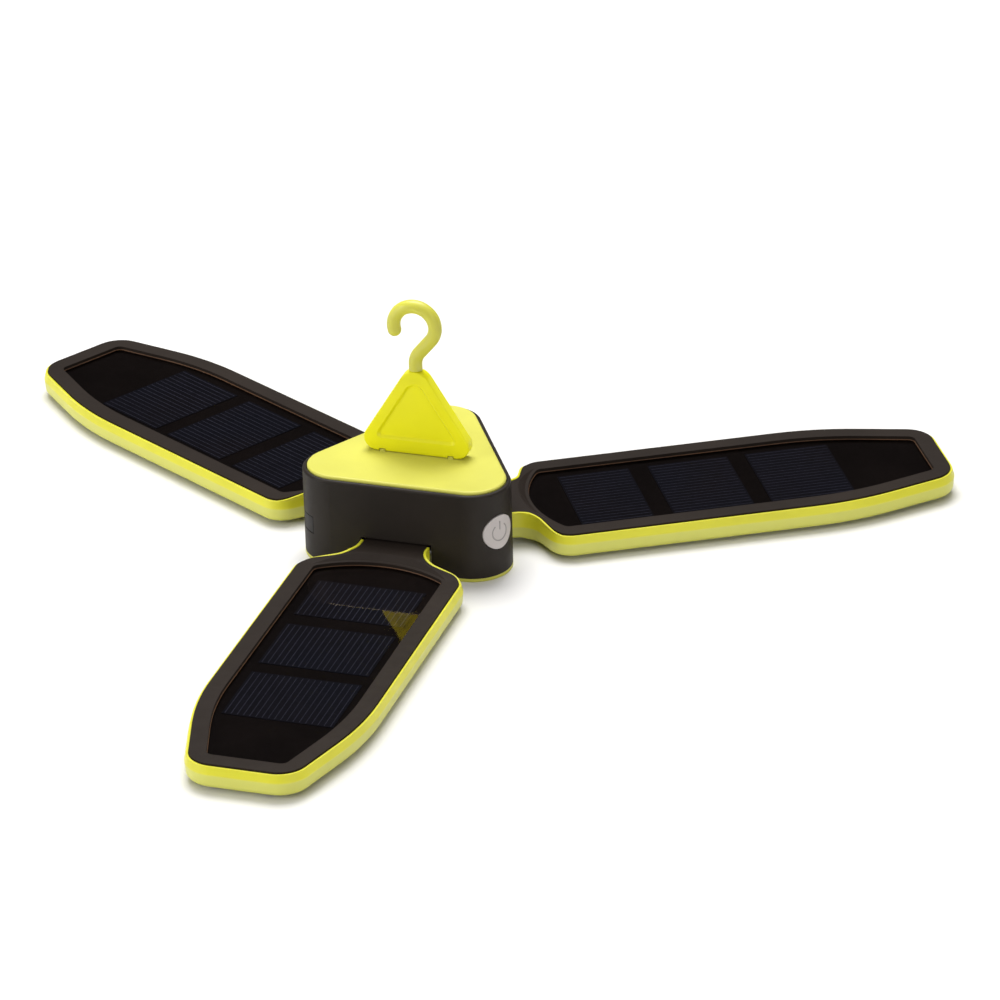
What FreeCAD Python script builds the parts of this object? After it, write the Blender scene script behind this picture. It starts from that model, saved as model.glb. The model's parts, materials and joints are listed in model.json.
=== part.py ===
import FreeCAD, Part
import math
import os
from FreeCAD import Vector

# Folding three-wing solar lantern, millimetres, +Z up.
# The origin is on the hub's axis, on the flat underside that the hub stands on.
# Each wing is drawn along +X (u outward from the hub axis, v across, z up) and then turned
# about +Z to its own face of the three-sided hub.

os.makedirs("parts", exist_ok=True)

WINGS = {"front": -90.0, "right": 30.0, "left": 150.0}
CORNER_ANGLES = (-30.0, 90.0, 210.0)
BUTTON_ANGLE = -30.0
PORT_ANGLE = 210.0

# Hub: a triangle with flat faces and round corners.
FACE = 25.0             # axis to each flat face
CORNER_R = 12.5         # radius of the vertical corners
CORNER_RHO = 25.0       # axis to each corner's own centre
WALL = 2.0
BASE_TOP = 1.2          # thickness of the bottom cover
SHELL_TOP = 30.1
COVER_TOP = 31.0
COVER_INSET = 1.5       # top cover edge to hub face
COVER_GAP = 0.3
COVER_FLOOR = 28.6      # underside of the top cover
ROOF_UNDER = 26.8
NOTCH_HALF = 11.7       # notch that each wing neck folds in
NOTCH_TOP = 11.6
NOTCH_BACK = 17.4
HOUSING_HALF = 16.5
HOUSING_TOP = 13.2
HOUSING_BACK = 15.6
PILLAR_R = 2.5
BOSS_TOP = 2.6          # top of the screw bosses in the bottom cover
BOSS_R = 3.4
LIP_UP = 2.4            # top of the bottom cover's locating lip
LIP_WALL = 1.25
FIT = 0.15              # clearance between parts that drop into each other
JOIN = 0.2              # overlap between shapes that are fused or cut
FAR = 300.0             # past the end of every outline
HUB_ROUND = 0.9
BASE_ROUND = 0.3
COVER_ROUND = 0.8
NOTCH_OUT = 27.0
HOUSING_OUT = 30.0
PILLAR_GAP = 0.3
HUB_PILOT = 7.0         # depth of the thread in each pillar
HUB_HEAD_GAP = 0.2
HUB_SCREW_R = 1.2
HUB_SCREW_LONG = 7.4
HUB_HEAD_R = 2.1
HUB_HEAD = (0.4, 1.4)   # underside and top of each hub screw's head
HUB_CROSS = (1.2, 0.25, 0.55)  # half-length, half-width and depth of the driver recess
SEAL = (3.5, 4.5)       # outer and inner edge of the top gasket, in from the hub faces
SEAL_SPARE = 0.1
SEAL_HIGH = 0.6

# Wing hinge.
HINGE_U = 22.0
HINGE_Z = 6.6
BARREL_R = 4.3
NECK_HALF = 10.4
PIN_R = 1.5
PIN_RUNNING = 0.05
PIN_IN = 4.5            # inner end of each hinge pin, across the wing
WASHER_R = 3.2
WEB_END = 31.0          # end of the web behind the hinge barrel

# Wing, seen from above: corners (u, v, fillet) of one side of the bezel.
NECK_BEND = (34.3, NECK_HALF, 9.0)
SHOULDER = (39.7, 26.8, 7.0)
TAPER_START = (137.0, 26.8, 95.0)
TIP = (172.6, 16.4, 9.0)
# Corners of one side of the opening over the solar panel.
OPENING_NEAR = (29.2, 0.0, 36.5)
OPENING_CORNER = (43.0, 21.3, 2.5)
OPENING_TAPER = (137.0, 21.3, 95.0)
OPENING_TIP = (167.0, 12.4, 2.5)
# Corners of one side of the light window in the underside.
LIGHT_CORNER = (47.0, 16.3, 5.0)
LIGHT_TAPER = (130.0, 16.3, 30.0)
LIGHT_TIP = (161.0, 7.8, 5.0)
LIGHT_FLANGE = 1.6

# Wing, in height.
UNDERSIDE = 1.2
FLOOR_TOP = 2.6
SEAT = 7.4              # ledge that carries the bezel
CREASE = 6.2            # widest line of the shell
PANEL_TOP = 8.0
BEZEL_TOP = 9.2
RAISED_ROOT = 0.6       # how far the raised neck and the posts reach into the rim
LIP_TOP = 8.6
NECK_TOP = 10.9
NECK_LIP = 11.15
NECK_UNDER = 2.3
RAMP = (30.0, 35.2)     # ends of the slope from the neck to the underside
TROUGH_TOP = 3.7        # floor of the shell inside the neck
SHELL_END = 25.6        # hub end of the shell's neck
NECK_SHELL_HALF = 11.35
CREASE_GROW = 1.4       # crease beyond the bezel outline
LIP_GROW = 0.75
FOOT_GROW = 1.0
FOOT_FILLET = 2.0
STEP_U = 72.7           # centre of the arc where the raised neck ends
STEP_R = 37.6
STEP_RUN = 2.2
SHOULDER_FALL = (35.0, 48.0)  # where the shoulders start and stop falling, from the hub centre
SHOULDER_END = 50.0
PANEL_MARGIN = 1.2      # panel under the bezel
BOARD_BOTTOM = 6.2
CELL_BOTTOM = 7.2
CELL_TOP = 7.4
CELL_HALF = 17.8
CELLS = ((48.9, 72.5), (78.9, 105.5), (111.4, 139.0))
RIB_TOP = 5.7
RIB_INSIDE = 0.4        # inner face of the rib, in from the opening
LENS_UNDER = 0.6
LENS_WALL = 1.3
LENS_SIDE = 1.5
LENS_OVERLAP = 0.4
LENS_GAP = 0.2
LENS_ROUND = 0.5
HOLLOW_START = 36.0     # hub end of the hollow under the panel
HOLLOW_HALF = 9.9       # half-width of that hollow at its hub end
HOLLOW_INSET = 0.5
LED_BOARD = (4.4, 5.4)
LED_SIZE = (3.5, 2.8, 0.8)
LED_ROWS = (52.0, 71.0, 90.0, 109.0, 128.0, 147.0)
LED_SIDE = 8.0
SCREW_SPOTS = ((32.8, 5.5), (32.8, -5.5), (170.4, 8.5), (170.4, -8.5))
POST_R = 1.7
SCREW_R = 0.9
HEAD_R = 1.6
HEAD_SEAT = 2.6
HEAD_DEEP = 0.85
SCREW_GAP = 0.1
SCREW_BITE = 3.6
SCREW_LONG = 4.2
SCREW_CROSS = (0.9, 0.2, 0.45)
TIP_BOSS_R = 2.0

# Hook plate, upright on the top cover, and the swivel hook in its top.
PLATE_T = 4.3
PLATE_FOOT = 31.2
PLATE_APEX = 64.9       # where the sloping sides would meet
PLATE_SLOPE = 0.62      # half-width gained per millimetre down
PLATE_CORNER_R = 4.2
PLATE_APEX_R = 5.3
PLATE_TOP = 60.1
PLATE_ROUND = 0.5
MOUTH_BENDS = (1.4, 3.5)  # foot and apex fillets round the recess
FLOOR_BENDS = (1.0, 3.0)  # the same on its floor
RECESS_SIDE = 3.2
RECESS_FOOT = 35.8
RECESS_DEEP = 0.8
RECESS_SLOPE = 0.7      # how far the recess walls lean in
FOLD_Y = 1.0
FOLD_Z = 32.35
LUG_IN = 10.6
LUG_OUT = 12.2
LUG_R = 2.0
LUG_GAP = 0.25
LUG_TOE = 0.8           # height of the toe in front of each lug
FOLD_PIN_R = 0.8
FOLD_PIN_HALF = 14.0
HOOK_R = 6.85           # centre line of the hook's bow
HOOK_Z = 75.2
ROD_R = 2.2
HOOK_TIP_ANGLE = 195.0
HOOK_END_ANGLE = -40.0
BEND_R = 6.0
SHANK_FOOT = 60.3
SPIGOT_R = 1.1
SPIGOT_FOOT = 56.3
CLIP = (57.0, 57.6)
CLIP_R = 1.75
CLIP_SLOT_HALF = 2.2
CLIP_GAP = 0.2
SPIGOT_RUNNING = 0.06
SPIGOT_END_GAP = 0.3

# Button, charging port and the things behind them.
BUTTON_Z = 16.2
BUTTON_R = 5.75
BUTTON_PROUD = 0.3
FLANGE_R = 6.8
BUTTON_GAP = 0.2
FLANGE_GAP = 0.3
BUTTON_BORE = (30.0, 40.0)
FLANGE_BORE_END = 34.15
CAP_RHO = (33.9, 41.0)
FLANGE_RHO = (33.0, 34.05)
PLUG_Z = (9.95, 15.45)
PLUG_R = (11.3, 12.45)
PLUG_HINGE = 183.0      # angle of the plug's hinge about the corner centre
PLUG_END = 237.7
PLUG_GAP = 0.25
POCKET_R = 14.0
POCKET_END = 238.9
KNUCKLE_ROOM = 0.9
PORT_WALL_R = (9.3, 11.8)
PORT_WALL_Z = (8.6, 17.0)
PORT_WALL_ENDS = (176.0, 244.0)
BOARD_Z = (13.2, 14.6)
BOARD_INSET = 6.2
BATTERY_X = (-17.0, 17.0)
BATTERY_Y = (-14.0, 12.0)
BATTERY_Z = (15.4, 24.4)
BATTERY_FILLET = 1.8
FOAM_X = (-12.0, 12.0)
FOAM_Y = (-9.0, 7.0)
SWITCH_RHO = (28.2, 31.6)
SWITCH_HALF = 3.0
SWITCH_TOP = 18.6
PLUNGER_R = 1.5
PLUNGER_LONG = 0.5
SOCKET_RHO = (28.8, 34.2)
SOCKET_HALF = 3.9
SOCKET_UNDER = 10.7
SOCKET_WALL = 0.4
SOCKET_BACK = 30.0
MOUTH_RHO = (33.0, 37.0)
MOUTH_HALF = 4.4
MOUTH_Z = (10.4, 14.0)
TONGUE_RHO = (34.7, 36.6)
TONGUE_HALF = 3.3
TONGUE_Z = (11.0, 13.4)


def corner_path(corners, z):
    """Closed wire at height z round corners given as (x, y, fillet radius)."""
    count = len(corners)
    bends = []
    for index in range(count):
        here = Vector(corners[index][0], corners[index][1], z)
        radius = corners[index][2]
        before = corners[index - 1]
        after = corners[(index + 1) % count]
        back = (Vector(before[0], before[1], z) - here).normalize()
        ahead = (Vector(after[0], after[1], z) - here).normalize()
        if radius == 0:
            bends.append((here, None, here))
            continue
        half = back.getAngle(ahead) / 2
        reach = radius / math.tan(half)
        inward = (back + ahead).normalize()
        middle = here + inward * (radius / math.sin(half) - radius)
        bends.append((here + back * reach, middle, here + ahead * reach))
    edges = []
    for index in range(count):
        start, middle, end = bends[index]
        if middle is not None:
            edges.append(Part.Arc(start, middle, end).toShape())
        edges.append(Part.LineSegment(end, bends[(index + 1) % count][0]).toShape())
    return Part.Wire(edges)


def grown(corners, amount, least=0.8):
    """The same anticlockwise outline moved outward by amount, fillets with it."""
    moved = []
    count = len(corners)
    for index in range(count):
        x, y, radius = corners[index]
        before = corners[index - 1]
        after = corners[(index + 1) % count]
        come = Vector(x - before[0], y - before[1], 0).normalize()
        leave = Vector(after[0] - x, after[1] - y, 0).normalize()
        out_one = Vector(come.y, -come.x, 0)
        out_two = Vector(leave.y, -leave.x, 0)
        shift = (out_one + out_two) * (amount / (1 + out_one.dot(out_two)))
        if radius > 0:
            side = 1 if come.cross(leave).z > 0 else -1
            radius = max(radius + side * amount, least)
        moved.append((x + shift.x, y + shift.y, radius))
    return moved


def prism(corners, bottom, top):
    face = Part.Face(corner_path(corners, bottom))
    return face.extrude(Vector(0, 0, top - bottom))


def taper(low, bottom, high, top):
    return Part.makeLoft([corner_path(low, bottom), corner_path(high, top)], True, True)


def block(x, y, z):
    """Box from three (low, high) pairs."""
    size = (x[1] - x[0], y[1] - y[0], z[1] - z[0])
    return Part.makeBox(size[0], size[1], size[2], Vector(x[0], y[0], z[0]))


def rod(radius, start, end):
    line = Vector(*end) - Vector(*start)
    return Part.makeCylinder(radius, line.Length, Vector(*start), line)


def turned(shape, angle):
    """A copy turned about the hub axis."""
    copy = shape.copy()
    copy.rotate(Vector(0, 0, 0), Vector(0, 0, 1), angle)
    return copy


def upright(shape):
    """A shape drawn flat on XY, stood up so that its Y becomes Z."""
    copy = shape.copy()
    copy.rotate(Vector(0, 0, 0), Vector(1, 0, 0), 90)
    return copy


def joined(shapes):
    first = shapes[0]
    return first.fuse(shapes[1:]).removeSplitter()


def flat_edges(shape, z, keep=None):
    """Edges that lie at height z, and pass the keep test on their middle."""
    found = []
    for edge in shape.Edges:
        box = edge.BoundBox
        if abs(box.ZMin - z) < 1e-4 and abs(box.ZMax - z) < 1e-4:
            if keep is None or keep(box.Center):
                found.append(edge)
    return found


def save(shape, name):
    if shape.ShapeType != "Compound":
        print(name, shape.ShapeType, "valid", shape.isValid(), "volume", round(shape.Volume, 1))
    else:
        print(name, "solids", len(shape.Solids), "valid", shape.isValid(), round(shape.Volume, 1))
    shape.exportStep("parts/" + name + ".step")


# ---------------------------------------------------------------- outlines

def mirrored(near, side):
    """Anticlockwise outline from one side's corners, hub end to tip."""
    lower = [(u, -v, radius) for u, v, radius in side]
    return near + lower + list(reversed(side))


def wing_outline(grow, neck_half, hub_end):
    """Bezel outline moved outward by grow, with its own neck width and hub end."""
    neck = neck_half - grow
    start = (hub_end + grow, neck, 0)
    side = [start, (NECK_BEND[0], neck, NECK_BEND[2]), SHOULDER, TAPER_START, TIP]
    return grown(mirrored([], side), grow)


def opening(grow):
    side = [OPENING_CORNER, OPENING_TAPER, OPENING_TIP]
    return grown(mirrored([OPENING_NEAR], side), grow)


def light(grow):
    return grown(mirrored([], [LIGHT_CORNER, LIGHT_TAPER, LIGHT_TIP]), grow)


def hub_outline(inset):
    reach = 2 * (FACE - inset)
    corners = []
    for angle in CORNER_ANGLES:
        turn = math.radians(angle)
        corners.append((reach * math.cos(turn), reach * math.sin(turn), CORNER_R - inset))
    return corners


def above_step(low, high):
    """Everything above a top that falls from high to low towards the panel and along the shoulders."""
    rise = high - low
    beside_panel = Part.makeCone(STEP_R, STEP_R + STEP_RUN, rise, Vector(STEP_U, 0, low))
    shoulders = Part.makeCone(SHOULDER_FALL[1], SHOULDER_FALL[0], rise, Vector(0, 0, low))
    beyond = block((0, FAR), (-FAR, FAR), (low, high)).cut(shoulders)
    over = block((0, FAR), (-FAR, FAR), (high, FAR))
    return joined([beside_panel, beyond, over])


# ---------------------------------------------------------------- wing pieces

def wing_shell():
    foot = wing_outline(FOOT_GROW, NECK_SHELL_HALF, SHELL_END)
    crease = wing_outline(CREASE_GROW, NECK_SHELL_HALF, SHELL_END)
    lip = wing_outline(LIP_GROW, NECK_SHELL_HALF, SHELL_END)
    low = taper(foot, UNDERSIDE, crease, CREASE)
    low = low.makeFillet(FOOT_FILLET, flat_edges(low, UNDERSIDE, lambda c: c.x > SHELL_END + 0.1))
    high = taper(crease, CREASE, lip, LIP_TOP)
    neck_sides = prism(lip, LIP_TOP, NECK_LIP + JOIN)
    body = low.fuse([high, neck_sides]).cut(above_step(LIP_TOP, NECK_LIP))
    under_neck = upright(prism([(0, -1, 0), (RAMP[1], -1, 0), (RAMP[1], UNDERSIDE, 0),
                                (RAMP[0], NECK_UNDER, 0), (0, NECK_UNDER, 0)], -FAR, FAR))
    body = body.cut(under_neck)
    hollow = prism(wing_outline(-HOLLOW_INSET, HOLLOW_HALF, SHELL_END), FLOOR_TOP, SEAT).common(
        block((HOLLOW_START, FAR), (-FAR, FAR), (0, FAR)))
    neck_room = (-NECK_HALF - FIT, NECK_HALF + FIT)
    trough = block((SHELL_END - 1, HOLLOW_START), neck_room, (TROUGH_TOP, FAR))
    pocket = prism(wing_outline(FIT, NECK_HALF + FIT, SHELL_END - 1), SEAT, FAR)
    body = body.cut([hollow, trough, pocket])
    rib = prism(opening(PANEL_MARGIN), FLOOR_TOP - JOIN, RIB_TOP)
    rib = rib.cut(prism(opening(-RIB_INSIDE), 0, RIB_TOP + 1))
    bosses = [Part.makeCylinder(TIP_BOSS_R, TROUGH_TOP - UNDERSIDE - JOIN, Vector(u, v, UNDERSIDE + JOIN))
              for u, v in SCREW_SPOTS if u > HOLLOW_START]
    body = body.fuse([rib] + bosses)
    holes = [prism(light(0), 0, FLOOR_TOP + JOIN)]
    for u, v in SCREW_SPOTS:
        holes.append(Part.makeCylinder(SCREW_R + SCREW_GAP, FAR, Vector(u, v, 0)))
        holes.append(Part.makeCylinder(HEAD_R + FIT, HEAD_SEAT, Vector(u, v, 0)))
    return body.cut(holes).removeSplitter()


def wing_bezel():
    rim = prism(wing_outline(0, NECK_HALF, HINGE_U), SEAT, BEZEL_TOP)
    rim = rim.cut(prism(opening(0), SEAT - 1, BEZEL_TOP + 1))
    rim = rim.cut(prism(opening(PANEL_MARGIN + FIT), SEAT - 1, PANEL_TOP))
    raised = prism(wing_outline(0, NECK_HALF, HINGE_U), BEZEL_TOP - RAISED_ROOT, NECK_TOP)
    raised = raised.cut(above_step(BEZEL_TOP, NECK_TOP))
    raised = raised.common(block((0, SHOULDER_END), (-FAR, FAR), (0, FAR)))
    raised = raised.cut(prism(opening(0), SEAT, FAR))
    web = block((HINGE_U, WEB_END), (-NECK_HALF, NECK_HALF), (TROUGH_TOP + FIT, BEZEL_TOP))
    barrel = rod(BARREL_R, (HINGE_U, -NECK_HALF, HINGE_Z), (HINGE_U, NECK_HALF, HINGE_Z))
    posts = [Part.makeCylinder(POST_R, SEAT + RAISED_ROOT - TROUGH_TOP, Vector(u, v, TROUGH_TOP))
             for u, v in SCREW_SPOTS]
    body = joined([rim, raised, web, barrel] + posts)
    holes = [Part.makeCylinder(SCREW_R, SCREW_BITE, Vector(u, v, TROUGH_TOP)) for u, v in SCREW_SPOTS]
    for side in (-1, 1):
        start = (HINGE_U, side * (PIN_IN - 0.5), HINGE_Z)
        end = (HINGE_U, side * (NECK_HALF + 1), HINGE_Z)
        holes.append(rod(PIN_R + PIN_RUNNING, start, end))
    return body.cut(holes).removeSplitter()


def solar_panel():
    return prism(opening(PANEL_MARGIN), BOARD_BOTTOM, CELL_BOTTOM)


def cell_blocks():
    return [block(span, (-CELL_HALF, CELL_HALF), (CELL_BOTTOM, CELL_TOP)) for span in CELLS]


def solar_cells():
    return Part.makeCompound(cell_blocks())


def panel_cover():
    return prism(opening(PANEL_MARGIN), CELL_BOTTOM, PANEL_TOP).cut(cell_blocks())


def panel_gasket():
    ring = prism(opening(PANEL_MARGIN), RIB_TOP, BOARD_BOTTOM)
    return ring.cut(prism(opening(-RIB_INSIDE), RIB_TOP - 1, BOARD_BOTTOM + 1))


def led_lens():
    """Tray-shaped diffuser: a window that drops through the floor, and a rim that lies on it."""
    window = prism(light(-LENS_GAP), LENS_UNDER, FLOOR_TOP + LENS_OVERLAP)
    window = window.makeFillet(LENS_ROUND, flat_edges(window, LENS_UNDER))
    rim = prism(light(LIGHT_FLANGE), FLOOR_TOP, LED_BOARD[0])
    inside = prism(light(-LENS_SIDE), LENS_UNDER + LENS_WALL, LED_BOARD[0] + 1)
    return joined([window, rim]).cut(inside)


def led_board():
    return prism(light(LIGHT_FLANGE), LED_BOARD[0], LED_BOARD[1])


def leds():
    chips = []
    for u in LED_ROWS:
        for v in (-LED_SIDE, LED_SIDE):
            long_way = (u - LED_SIZE[0] / 2, u + LED_SIZE[0] / 2)
            across = (v - LED_SIZE[1] / 2, v + LED_SIZE[1] / 2)
            chips.append(block(long_way, across, (LED_BOARD[0] - LED_SIZE[2], LED_BOARD[0])))
    return Part.makeCompound(chips)


def cross_slot(x, y, cross, face):
    """Cross recess, given its half-length, half-width and depth, in a screw head's lower face."""
    half, narrow, deep = cross
    one_way = block((x - half, x + half), (y - narrow, y + narrow), (0, face + deep))
    other_way = block((x - narrow, x + narrow), (y - half, y + half), (0, face + deep))
    return [one_way, other_way]


def wing_screws():
    screws = []
    for u, v in SCREW_SPOTS:
        head = Part.makeCylinder(HEAD_R, HEAD_DEEP, Vector(u, v, HEAD_SEAT - HEAD_DEEP))
        shank = Part.makeCylinder(SCREW_R, SCREW_LONG, Vector(u, v, HEAD_SEAT))
        screws.append(joined([head, shank]).cut(cross_slot(u, v, SCREW_CROSS, HEAD_SEAT - HEAD_DEEP)))
    return Part.makeCompound(screws)


WING_PIECES = {
    "wing_shell": wing_shell,
    "wing_bezel": wing_bezel,
    "solar_panel": solar_panel,
    "solar_cells": solar_cells,
    "panel_cover": panel_cover,
    "panel_gasket": panel_gasket,
    "led_lens": led_lens,
    "led_board": led_board,
    "leds": leds,
    "wing_screws": wing_screws,
}


# ---------------------------------------------------------------- hub pieces

def at_corner(rho, angle, z, aside=0.0):
    """Point at distance rho along a corner direction, and aside square to it."""
    turn = math.radians(angle)
    x = rho * math.cos(turn) - aside * math.sin(turn)
    y = rho * math.sin(turn) + aside * math.cos(turn)
    return Vector(x, y, z)


def pillar_spots():
    return [at_corner(CORNER_RHO, angle, 0) for angle in CORNER_ANGLES]


def corner_sector(radius, height, start, end):
    """Slice of a cylinder about the port corner's centre, between two angles."""
    centre = at_corner(CORNER_RHO, PORT_ANGLE, height[0])
    slice_ = Part.makeCylinder(radius, height[1] - height[0], centre, Vector(0, 0, 1), end - start)
    slice_.rotate(centre, Vector(0, 0, 1), start)
    return slice_


def corner_cylinder(radius, height, angle):
    centre = at_corner(CORNER_RHO, angle, height[0])
    return Part.makeCylinder(radius, height[1] - height[0], centre)


def port_box(rho, half, z):
    """Box square to the port corner's direction."""
    return turned(block(rho, (-half, half), z), PORT_ANGLE)


def plug_hinge_spot(z):
    centre = at_corner(CORNER_RHO, PORT_ANGLE, z)
    turn = math.radians(PLUG_HINGE)
    reach = (PLUG_R[0] + PLUG_R[1]) / 2
    return centre + Vector(reach * math.cos(turn), reach * math.sin(turn), 0)


def port_pocket():
    """Room in the corner for the rubber plug, its hinge end and its tongue."""
    height = (PLUG_Z[0] - PLUG_GAP, PLUG_Z[1] + PLUG_GAP)
    pocket = corner_sector(POCKET_R, height, PLUG_HINGE, POCKET_END)
    pocket = pocket.cut(corner_cylinder(PLUG_R[0] - FIT, (0, FAR), PORT_ANGLE))
    round_end = Part.makeCylinder(KNUCKLE_ROOM, height[1] - height[0], plug_hinge_spot(height[0]))
    mouth = port_box(MOUTH_RHO, MOUTH_HALF, MOUTH_Z)
    return [pocket, round_end, mouth]


def button_axis(radius, start, end):
    first = at_corner(start, BUTTON_ANGLE, BUTTON_Z)
    last = at_corner(end, BUTTON_ANGLE, BUTTON_Z)
    return rod(radius, tuple(first), tuple(last))


def notches():
    cut = block((NOTCH_BACK, NOTCH_OUT), (-NOTCH_HALF, NOTCH_HALF), (-1, NOTCH_TOP))
    return [turned(cut, angle) for angle in WINGS.values()]


def housings(spare=0.0):
    back = HOUSING_BACK - spare
    half = HOUSING_HALF + spare
    wall = block((back, HOUSING_OUT), (-half, half), (0, HOUSING_TOP))
    return [turned(wall, angle) for angle in WINGS.values()]


def hub_shell():
    outer = prism(hub_outline(0), BASE_TOP, SHELL_TOP)
    outer = outer.makeFillet(HUB_ROUND, flat_edges(outer, SHELL_TOP))
    cavity = prism(hub_outline(WALL), 0, ROOF_UNDER).cut(housings())
    boss = corner_sector(PORT_WALL_R[1], PORT_WALL_Z, PORT_WALL_ENDS[0], PORT_WALL_ENDS[1])
    boss = boss.cut(corner_cylinder(PORT_WALL_R[0], (0, FAR), PORT_ANGLE))
    pillars = [Part.makeCylinder(PILLAR_R, ROOF_UNDER + 0.5 - BOSS_TOP, spot + Vector(0, 0, BOSS_TOP))
               for spot in pillar_spots()]
    body = outer.cut(cavity).fuse([boss] + pillars)
    holes = [prism(hub_outline(COVER_INSET - COVER_GAP), COVER_FLOOR, SHELL_TOP + 1)]
    holes += notches()
    holes += port_pocket()
    holes.append(button_axis(BUTTON_R + BUTTON_GAP, BUTTON_BORE[0], BUTTON_BORE[1]))
    holes.append(button_axis(FLANGE_R + FLANGE_GAP, BUTTON_BORE[0], FLANGE_BORE_END))
    for angle in WINGS.values():
        bore = rod(PIN_R, (HINGE_U, -HOUSING_HALF, HINGE_Z), (HINGE_U, HOUSING_HALF, HINGE_Z))
        holes.append(turned(bore, angle))
    for spot in pillar_spots():
        holes.append(Part.makeCylinder(HUB_SCREW_R, HUB_PILOT, spot + Vector(0, 0, BOSS_TOP)))
    return body.cut(holes).removeSplitter()


def bottom_cover():
    plate = prism(hub_outline(0), 0, BASE_TOP)
    plate = plate.makeFillet(BASE_ROUND, flat_edges(plate, 0))
    lip = prism(hub_outline(WALL + FIT), BASE_TOP - JOIN, LIP_UP)
    lip = lip.cut(prism(hub_outline(WALL + FIT + LIP_WALL), 0, FAR)).cut(housings(FIT))
    bosses = [Part.makeCylinder(BOSS_R, BOSS_TOP - HUB_HEAD[0], spot + Vector(0, 0, HUB_HEAD[0]))
              for spot in pillar_spots()]
    body = plate.fuse([lip] + bosses).cut(notches())
    holes = []
    for spot in pillar_spots():
        holes.append(Part.makeCylinder(HUB_SCREW_R + FIT, FAR, spot))
        holes.append(Part.makeCylinder(HUB_HEAD_R + HUB_HEAD_GAP, HUB_HEAD[1], spot))
    return body.cut(holes).removeSplitter()


def hub_screws():
    screws = []
    for spot in pillar_spots():
        head_high = HUB_HEAD[1] - HUB_HEAD[0]
        head = Part.makeCylinder(HUB_HEAD_R, head_high, spot + Vector(0, 0, HUB_HEAD[0]))
        shank = Part.makeCylinder(HUB_SCREW_R, HUB_SCREW_LONG, spot + Vector(0, 0, HUB_HEAD[1]))
        screws.append(joined([head, shank]).cut(cross_slot(spot.x, spot.y, HUB_CROSS, HUB_HEAD[0])))
    return Part.makeCompound(screws)


def wing_hinge_pins():
    pins = []
    for angle in WINGS.values():
        for side in (-1, 1):
            start = (HINGE_U, side * PIN_IN, HINGE_Z)
            end = (HINGE_U, side * HOUSING_HALF, HINGE_Z)
            pins.append(turned(rod(PIN_R, start, end), angle))
    return Part.makeCompound(pins)


def hinge_washers():
    washers = []
    for angle in WINGS.values():
        for side in (-1, 1):
            start = (HINGE_U, side * (NECK_HALF + FIT), HINGE_Z)
            end = (HINGE_U, side * NOTCH_HALF, HINGE_Z)
            washer = rod(WASHER_R, start, end).cut(rod(PIN_R, start, end))
            washers.append(turned(washer, angle))
    return Part.makeCompound(washers)


def fold_lugs():
    """Pair of ears on the top cover that carry the hook plate's pin."""
    lugs = []
    for side in (-1, 1):
        span = sorted((side * LUG_IN, side * LUG_OUT))
        eye = rod(LUG_R, (span[0], FOLD_Y, FOLD_Z), (span[1], FOLD_Y, FOLD_Z))
        stem = block(span, (FOLD_Y - LUG_R, FOLD_Y + LUG_R), (COVER_TOP - 0.5, FOLD_Z))
        toe = block(span, (-PLATE_T / 2, FOLD_Y), (COVER_TOP - 0.5, COVER_TOP + LUG_TOE))
        lugs += [eye, stem, toe]
    return lugs


def top_cover():
    plate = prism(hub_outline(COVER_INSET), COVER_FLOOR, COVER_TOP)
    plate = plate.makeFillet(COVER_ROUND, flat_edges(plate, COVER_TOP))
    body = plate.fuse(fold_lugs())
    groove = prism(hub_outline(SEAL[0] - SEAL_SPARE), COVER_FLOOR, COVER_FLOOR + SEAL_HIGH)
    groove = groove.cut(prism(hub_outline(SEAL[1] + SEAL_SPARE), COVER_FLOOR - 1, COVER_FLOOR + 1))
    reach = FOLD_PIN_HALF + 1
    hole = rod(FOLD_PIN_R + PIN_RUNNING, (-reach, FOLD_Y, FOLD_Z), (reach, FOLD_Y, FOLD_Z))
    return body.cut([groove, hole]).removeSplitter()


def top_gasket():
    ring = prism(hub_outline(SEAL[0]), COVER_FLOOR, COVER_FLOOR + SEAL_HIGH)
    return ring.cut(prism(hub_outline(SEAL[1]), COVER_FLOOR - 1, COVER_FLOOR + 1))


def control_board():
    board = prism(hub_outline(BOARD_INSET), BOARD_Z[0], BOARD_Z[1])
    clear = [Part.makeCylinder(PILLAR_R + PILLAR_GAP, FAR, spot) for spot in pillar_spots()]
    return board.cut(clear)


def battery_pack():
    cell = block(BATTERY_X, BATTERY_Y, BATTERY_Z)
    return cell.makeFillet(BATTERY_FILLET, cell.Edges)


def battery_foam():
    return block(FOAM_X, FOAM_Y, (BATTERY_Z[1], ROOF_UNDER))


def tact_switch():
    body = block(SWITCH_RHO, (-SWITCH_HALF, SWITCH_HALF), (BOARD_Z[1], SWITCH_TOP))
    face = SWITCH_RHO[1]
    plunger = rod(PLUNGER_R, (face, 0, BUTTON_Z), (face + PLUNGER_LONG, 0, BUTTON_Z))
    return turned(joined([body, plunger]), BUTTON_ANGLE)


def usb_socket():
    can = port_box(SOCKET_RHO, SOCKET_HALF, (SOCKET_UNDER, BOARD_Z[0]))
    can = can.makeFillet(0.5, flat_edges(can, SOCKET_UNDER))
    inside = (SOCKET_UNDER + SOCKET_WALL, BOARD_Z[0] - SOCKET_WALL)
    mouth = (SOCKET_BACK, SOCKET_RHO[1] + 1)
    return can.cut(port_box(mouth, SOCKET_HALF - SOCKET_WALL, inside))


def power_button():
    cap = button_axis(BUTTON_R, CAP_RHO[0], CAP_RHO[1])
    cap = cap.common(corner_cylinder(CORNER_R + BUTTON_PROUD, (0, FAR), BUTTON_ANGLE))
    flange = button_axis(FLANGE_R, FLANGE_RHO[0], FLANGE_RHO[1])
    return joined([cap, flange])


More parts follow.
